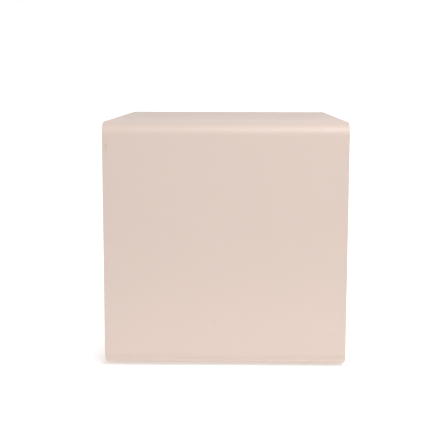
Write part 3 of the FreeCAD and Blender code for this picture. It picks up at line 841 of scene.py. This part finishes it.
for depth_side, depth_word in ((-1, "front"), (1, "back")):
    for height_side, height_word in ((-1, "bottom"), (1, "top")):
        node = f"{height_word}_{depth_word}_rail"
        rail = rail_mesh(f"rounded_{node}", depth_side, height_side)
        low, high = box_of(node)
        cutters = []
        for end in (-1, 1):
            near = np.where([True, False, False], end * HALF_WIDTH - END_ZONE, low)
            far = np.where([True, False, False], end * HALF_WIDTH + END_ZONE, high)
            pins = inside_box(DOWELS, near, far)
            depth = abs(pins[0][0 if end > 0 else 1][0] - end * RAIL_END) + BORE_RELIEF
            start = end * (RAIL_END + OVERSHOOT)
            cutters += drill_rods(pins, 0, start, -end * (depth + OVERSHOOT), hole_radius(pins[0]))
        if height_side < 0:
            screws = [box for box in BASE_SCREWS if low[1] < (box[0][1] + box[1][1]) / 2 < high[1]]
            tip = max(box[1][2] for box in screws) + BORE_RELIEF
            start = low[2] + BOARD - OVERSHOOT
            cutters += drill_rods(screws, 2, start, tip - start, hole_radius(screws[0], 2))
        rail = cut_out(rail, cutters)
        bare = inside_rail(depth_side, height_side)
        piece(f"rounded_{node}", rail, (PAINTED, TULIPWOOD), "painted_rail", node, chooser=bare)


RIM_ZONE = 10 * MM  # faces this near to an end board's rim are painted
SKIN = 1.6 * MM  # and so are those this near to its outer face


def inside_end(centres):
    """Chooses bare board for an end board's inner face and its blind holes."""
    depth, height = np.abs(centres[:, 1]), np.abs(centres[:, 2] - MIDDLE_HEIGHT)
    off_rim = (depth < HALF_DEPTH - RIM_ZONE) & (height < (HEAD - FOOT) / 2 - RIM_ZONE)
    return (np.abs(centres[:, 0]) < END_HIGH[0] - SKIN) & off_rim


for side, word in ((-1, "left"), (1, "right")):
    name = f"painted_{word}_end_board"
    inner = side * END_LOW[0]
    pins = [box for box in DOWELS if side * (box[0][0] + box[1][0]) > 0]
    screws = [box for box in CLEAT_SCREWS if side * (box[0][0] + box[1][0]) > 0]
    cutters = []
    for boxes, taper in ((pins, 1), (screws, 2)):
        reach = max(abs(box[0 if side < 0 else 1][0]) for box in boxes) + BORE_RELIEF
        start = inner - side * OVERSHOOT
        radius = hole_radius(boxes[0], taper)
        cutters += drill_rods(boxes, 0, start, side * reach - start, radius)
    board = cut_out(end_board_mesh(name, side), cutters)
    node = f"{word}_side_panel"
    piece(name, board, PAINT_OVER_BOARD, "painted_board", node, chooser=inside_end)


# ---------------------------------------------------------------------------
# Fasteners and glides
# ---------------------------------------------------------------------------

def set_at(name, template, places, material, slot, node):
    """One piece made of copies of a template at places."""
    copies = [placed_copy(template, place) for place in places]
    piece(name, joined_mesh(name, copies), (material,), slot, node)


pin_low, pin_high = DOWELS[0]
pin = dowel_mesh("dowel", (pin_high[1] - pin_low[1]) / 2, pin_high[0] - pin_low[0])
pin_places = []
for low, high in DOWELS:
    middle = (low + high) / 2
    pin_places.append(facing((low[0], middle[1], middle[2]), (1, 0, 0)))
set_at("fluted_dowels", pin, pin_places, BEECH, "beech", "rail_dowels")


def screw_places(boxes, axis):
    """Placements of the heads' flats: at the low end if a screw points up its axis, else the high."""
    places = []
    for low, high in boxes:
        middle = (low + high) / 2
        outwards = 1 if axis == 2 or middle[0] > 0 else -1
        middle[axis] = low[axis] if outwards > 0 else high[axis]
        places.append(facing(middle, np.eye(3)[axis] * outwards))
    return places


for node, boxes, axis in (
    ("base_screws", BASE_SCREWS, 2),
    ("cleat_screws", CLEAT_SCREWS, 0),
    ("glide_screws", GLIDE_SCREWS, 2),
):
    low, high = boxes[0]
    across = (axis + 1) % 3
    shank = (high[across] - low[across]) / 4
    screw = screw_mesh("screw", shank, high[axis] - low[axis])
    set_at(f"threaded_{node}", screw, screw_places(boxes, axis), ZINC, "zinc_plated_steel", node)

for depth_word in ("front", "back"):
    for side_word in ("left", "right"):
        node = f"{depth_word}_{side_word}_glide"
        low, high = box_of(node)
        glide = glide_mesh(f"moulded_{node}", (high[0] - low[0]) / 2, high[2] - low[2])
        middle = (low + high) / 2
        glide.transform(Matrix.Translation((middle[0], middle[1], low[2])))
        piece(f"moulded_{node}", glide, (NYLON,), "nylon", node)


# ---------------------------------------------------------------------------
# Pieces that keep their CAD shape
# ---------------------------------------------------------------------------

KEPT = {"base_panel": SEALED_BOARD, "centre_rib": RAW_BOARD}
for side_word in ("left", "right"):
    KEPT[f"{side_word}_front_cleat"] = PINE_TALL
    KEPT[f"{side_word}_back_cleat"] = PINE_TALL
    KEPT[f"{side_word}_top_cleat"] = PINE_DEEP
    KEPT[f"{side_word}_base_cleat"] = PINE_DEEP
    KEPT[f"front_{side_word}_glide_block"] = PINE_WIDE
    KEPT[f"back_{side_word}_glide_block"] = PINE_WIDE
for node, material in KEPT.items():
    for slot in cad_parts[node].material_slots:
        slot.material = material


# ---------------------------------------------------------------------------
# Studio
# ---------------------------------------------------------------------------

KEY_WATTS = 36.0
CARD_WATTS = 0.115
ROOM_LIGHT = 0.49
# strengths of the paper's painted glow: its own emission, not a lamp
FLOOR_GLOW = 0.18
TABLE_GLOW = 0.45
WALL_GLOW = 0.2
PAPER_REACH = 7.0  # metres to the front edge and to each side
PAPER_BACK = 4.4
PAPER_BEND = 1.6
PAPER_HEIGHT = 6.0
PAPER_STEP = 0.7


def paper_sweep():
    """White paper: flat under and behind the plinth, then curved up into a wall far behind it."""
    bend_start, wall_place = PAPER_BACK - PAPER_BEND, PAPER_BACK
    floor = between((-PAPER_REACH, 0.0), (bend_start, 0.0), PAPER_STEP)
    curve = arc_points((bend_start, PAPER_BEND), PAPER_BEND, -math.pi / 2, 24)
    wall = between((wall_place, PAPER_BEND), (wall_place, PAPER_HEIGHT), PAPER_STEP)
    path = np.concatenate([floor, curve[:-1], wall])
    across = np.arange(-PAPER_REACH, PAPER_REACH + PAPER_STEP / 2, PAPER_STEP)
    grid = np.empty((len(path), len(across), 3))
    grid[:, :, 0] = across
    grid[:, :, 1:] = path[:, None, :]
    row, column = np.meshgrid(np.arange(len(path) - 1), np.arange(len(across) - 1), indexing="ij")
    first = (row * len(across) + column).ravel()
    quads = np.stack([first, first + 1, first + len(across) + 1, first + len(across)], axis=1)
    mesh = bpy.data.meshes.new("paper_sweep")
    mesh.from_pydata(grid.reshape(-1, 3).tolist(), [], quads.tolist())
    mesh.materials.append(studio_white("white_paper", FLOOR_GLOW, TABLE_GLOW, WALL_GLOW))
    mesh.shade_smooth()
    sweep = bpy.data.objects.new("paper_sweep", mesh)
    bpy.context.scene.collection.objects.link(sweep)


def softbox(name, place, target, width, height, watts):
    """A rectangular studio light that faces a target."""
    light = bpy.data.lights.new(name, "AREA")
    light.shape = "RECTANGLE"
    light.size, light.size_y = width, height
    light.energy = watts
    lamp = bpy.data.objects.new(name, light)
    lamp.location = place
    lamp.rotation_euler = (Vector(target) - Vector(place)).to_track_quat("-Z", "Y").to_euler()
    bpy.context.scene.collection.objects.link(lamp)


paper_sweep()
softbox(
    "key_softbox", place=(0.65, -1.43, 2.15), target=(0, -0.28, 0.3), width=1.4, height=0.6,
    watts=KEY_WATTS,
)
softbox(
    "bounce_card", place=(0.03, -0.52, 0.03), target=(0.03, -0.3, 0.03), width=0.9, height=0.04,
    watts=CARD_WATTS,
)

room = bpy.data.worlds.new("studio_room")
room.use_nodes = True
room.node_tree.nodes["Background"].inputs["Color"].default_value = (1, 1, 1, 1)
room.node_tree.nodes["Background"].inputs["Strength"].default_value = ROOM_LIGHT
bpy.context.scene.world = room
bpy.context.scene.view_settings.view_transform = "Standard"


def set_camera(place, down, left, lean, lens):
    """A camera at a place, turned down and left from looking along +Y, and leaning a little."""
    down, left, lean = (math.radians(angle) for angle in (down, left, lean))
    ahead = Vector((-math.sin(left), math.cos(left), 0)) * math.cos(down)
    forward = ahead - Vector((0, 0, math.sin(down)))
    level = Vector((math.cos(left), math.sin(left), 0))
    under = forward.cross(level)
    across = level * math.cos(lean) - under * math.sin(lean)
    upwards = -(level * math.sin(lean) + under * math.cos(lean))
    data = bpy.data.cameras.new("camera")
    data.lens = lens
    camera = bpy.data.objects.new("camera", data)
    turn = Matrix((across, upwards, -forward)).transposed().to_4x4()
    camera.matrix_world = Matrix.Translation(place) @ turn
    bpy.context.scene.collection.objects.link(camera)
    bpy.context.scene.camera = camera


set_camera((0.02219, -2.11656, 0.535), down=8.233, left=0.81, lean=0.134, lens=80.59)

bpy.context.view_layer.update()
